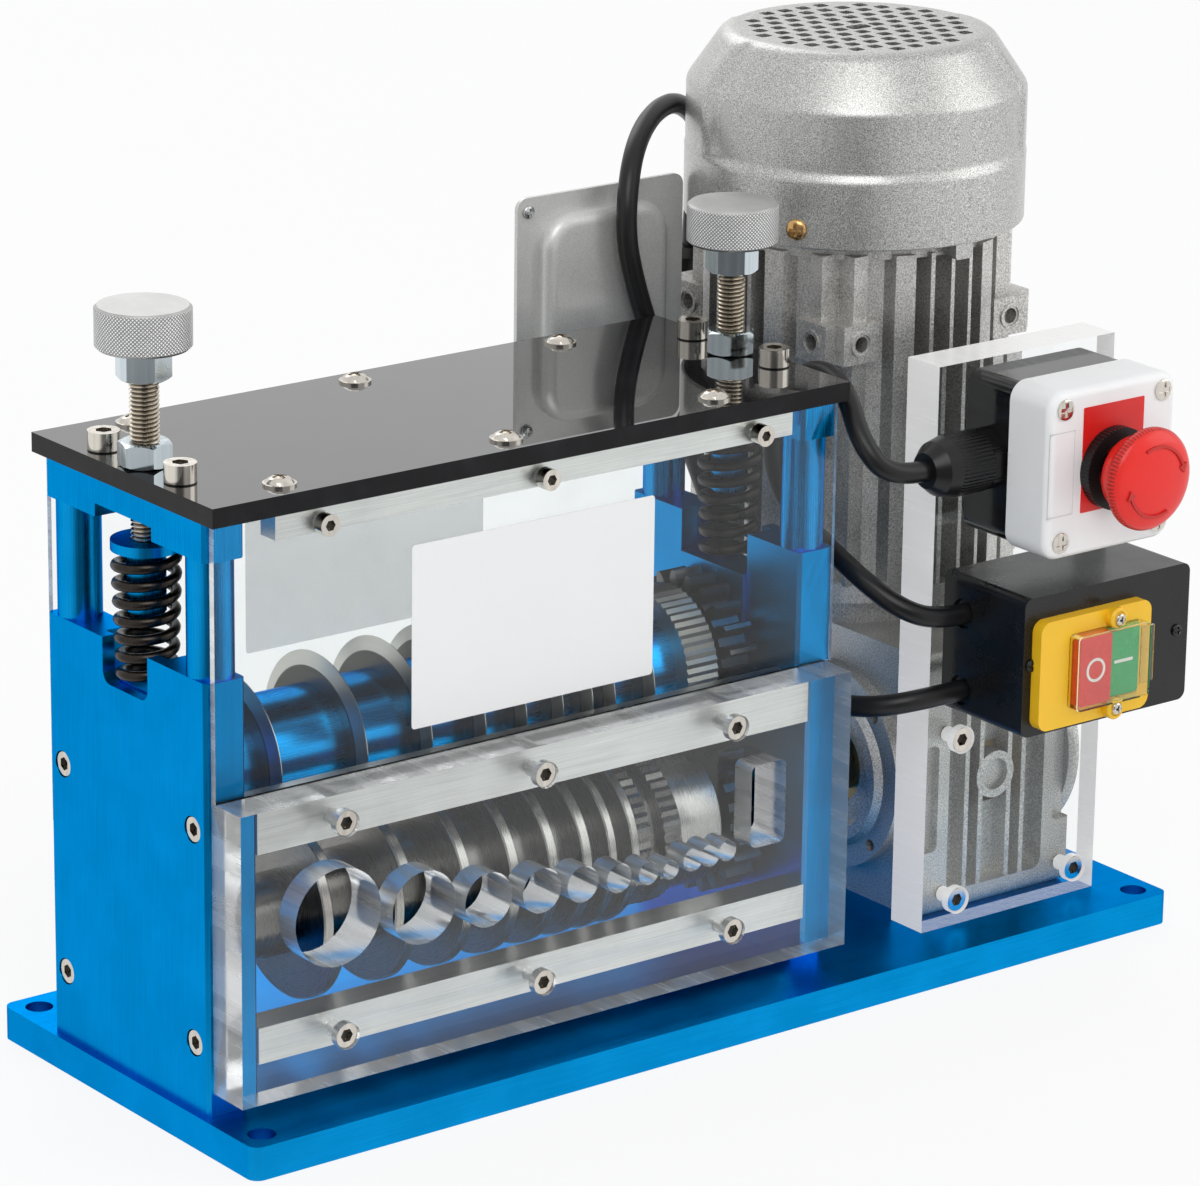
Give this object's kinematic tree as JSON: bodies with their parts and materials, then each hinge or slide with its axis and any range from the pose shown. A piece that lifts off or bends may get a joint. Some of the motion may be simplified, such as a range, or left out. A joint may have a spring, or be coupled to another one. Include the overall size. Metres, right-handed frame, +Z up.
{
  "type": "wire stripping machine",
  "caption": "Bench machine that pulls wires between a grooved roller and disc blades to slit their insulation, driven by an upright geared motor.",
  "frame": {"origin": "middle of the base plate's underside", "axes": "+X along the machine towards the motor, -Y the side where wires go in, +Z up"},
  "size_m": [0.489, 0.288, 0.3805],
  "materials": {
    "blue_anodised": "satin",
    "bare_aluminium": "brushed",
    "cast_grey": "satin",
    "silver_paint": "satin",
    "zinc_steel": "satin",
    "ground_steel": "brushed",
    "dark_steel": "satin",
    "spring_steel": "satin",
    "chromed": "polished",
    "clear_panel": "gloss",
    "black_cover": "gloss",
    "black_plastic": "matte",
    "black_rubber": "matte",
    "white_plastic": "satin",
    "yellow_plastic": "satin",
    "red_plastic": "gloss",
    "green_plastic": "gloss",
    "clear_rubber": "gloss",
    "bronze": "satin"
  },
  "bodies": {
    "frame": {"base_plate": "blue_anodised", "left_end_plate": "blue_anodised", "right_end_plate": "blue_anodised", "bridges": "blue_anodised", "guide_posts": "blue_anodised", "top_cover": "black_cover", "front_window": "clear_panel", "rear_window": "clear_panel", "window_rails": "bare_aluminium", "feed_panel": "clear_panel", "tie_bars": "bare_aluminium", "pan_head_screws": "zinc_steel", "bridge_cap_screws": "zinc_steel", "cap_screws": "zinc_steel", "feed_bearings": "chromed", "gearbox_housing": "cast_grey", "gearbox_covers": "cast_grey", "input_flange": "cast_grey", "motor_housing": "cast_grey", "motor_end_shield": "cast_grey", "fan_cover": "silver_paint", "terminal_box": "silver_paint", "terminal_lid": "silver_paint", "cable_glands": "black_plastic", "control_plate": "clear_panel", "estop_base": "black_plastic", "estop_cover": "white_plastic", "estop_collar": "black_plastic", "control_box": "black_plastic", "switch_frame": "yellow_plastic", "switch_hood": "clear_rubber", "motor_lead": "black_rubber", "estop_lead": "black_rubber", "left_spring": "spring_steel", "right_spring": "spring_steel"},
    "feed_shaft": {"feed_roller": "ground_steel", "feed_gear": "dark_steel", "worm_wheel": "bronze"},
    "bearing_carriage": {"bearing_blocks": "blue_anodised", "blade_bearings": "chromed"},
    "blade_assembly": {"blade_shaft": "ground_steel", "blade_discs": "ground_steel", "blade_spacers": "blue_anodised", "knurled_ring": "ground_steel", "blade_gear": "dark_steel"},
    "motor_rotor": {"rotor_shaft": "dark_steel", "worm": "dark_steel", "cooling_fan": "black_plastic"},
    "left_cap": {"left_spring_cap": "blue_anodised"},
    "left_adjuster": {"left_adjusting_screw": "zinc_steel", "left_knob": "zinc_steel"},
    "left_nut": {"left_lock_nut": "zinc_steel"},
    "right_cap": {"right_spring_cap": "blue_anodised"},
    "right_adjuster": {"right_adjusting_screw": "zinc_steel", "right_knob": "zinc_steel"},
    "right_nut": {"right_lock_nut": "zinc_steel"},
    "stop_stem": {"estop_stem": "black_plastic"},
    "stop_button": {"estop_mushroom": "red_plastic"},
    "start_green": {"green_button": "green_plastic"},
    "stop_red": {"red_button": "red_plastic"}
  },
  "joints": [
    {"name": "motor_spin", "type": "hinge", "parent": "frame", "child": "motor_rotor", "pos_m": [0.17, 0.05, 0.071], "axis": [0, 0, 1], "continuous": true},
    {"name": "feed_spin", "type": "hinge", "parent": "frame", "child": "feed_shaft", "pos_m": [0, 0, 0.071], "axis": [1, 0, 0], "continuous": true},
    {"name": "blade_lift", "type": "slide", "parent": "frame", "child": "bearing_carriage", "axis": [0, 0, 1], "range_m": [0, 0.004], "stiffness_N_per_m": 12000, "springref_m": -0.004, "deforming": ["left_spring", "right_spring"]},
    {"name": "blade_spin", "type": "hinge", "parent": "bearing_carriage", "child": "blade_assembly", "pos_m": [0, 0, 0.1372], "axis": [1, 0, 0], "continuous": true},
    {"name": "left_cap_slide", "type": "slide", "parent": "frame", "child": "left_cap", "axis": [0, 0, 1], "range_m": [-0.008, 0.002], "deforming": ["left_spring"]},
    {"name": "left_knob_turn", "type": "hinge", "parent": "left_cap", "child": "left_adjuster", "pos_m": [-0.2265, 0, 0.235], "axis": [0, 0, 1], "range_deg": [-1648, 413]},
    {"name": "left_nut_turn", "type": "hinge", "parent": "frame", "child": "left_nut", "pos_m": [-0.2265, 0, 0.2645], "axis": [0, 0, 1], "range_deg": [0, 90]},
    {"name": "right_cap_slide", "type": "slide", "parent": "frame", "child": "right_cap", "axis": [0, 0, 1], "range_m": [-0.008, 0.002], "deforming": ["right_spring"]},
    {"name": "right_knob_turn", "type": "hinge", "parent": "right_cap", "child": "right_adjuster", "pos_m": [0.0625, 0, 0.235], "axis": [0, 0, 1], "range_deg": [-1648, 413]},
    {"name": "right_nut_turn", "type": "hinge", "parent": "frame", "child": "right_nut", "pos_m": [0.0625, 0, 0.2645], "axis": [0, 0, 1], "range_deg": [0, 90]},
    {"name": "stop_push", "type": "slide", "parent": "frame", "child": "stop_stem", "axis": [0, 1, 0], "range_m": [0, 0.005], "stiffness_N_per_m": 800, "springref_m": -0.002},
    {"name": "stop_release_twist", "type": "hinge", "parent": "stop_stem", "child": "stop_button", "pos_m": [0.169, -0.125, 0.226], "axis": [0, -1, 0], "range_deg": [0, 45], "stiffness_Nm_per_rad": 0.05, "springref_deg": -5.73},
    {"name": "red_push", "type": "slide", "parent": "frame", "child": "stop_red", "axis": [0, 1, 0], "range_m": [0, 0.003], "stiffness_N_per_m": 400, "springref_m": -0.001},
    {"name": "green_push", "type": "slide", "parent": "frame", "child": "start_green", "axis": [0, 1, 0], "range_m": [0, 0.0025], "stiffness_N_per_m": 400, "springref_m": -0.001}
  ],
  "couplings": [
    {"joint": "feed_spin", "follows": "motor_spin", "ratio": 0.04},
    {"joint": "blade_spin", "follows": "motor_spin", "ratio": -0.04},
    {"joint": "left_knob_turn", "follows": "left_cap_slide", "rad_per_m": 3590.4},
    {"joint": "right_knob_turn", "follows": "right_cap_slide", "rad_per_m": 3590.4}
  ]
}
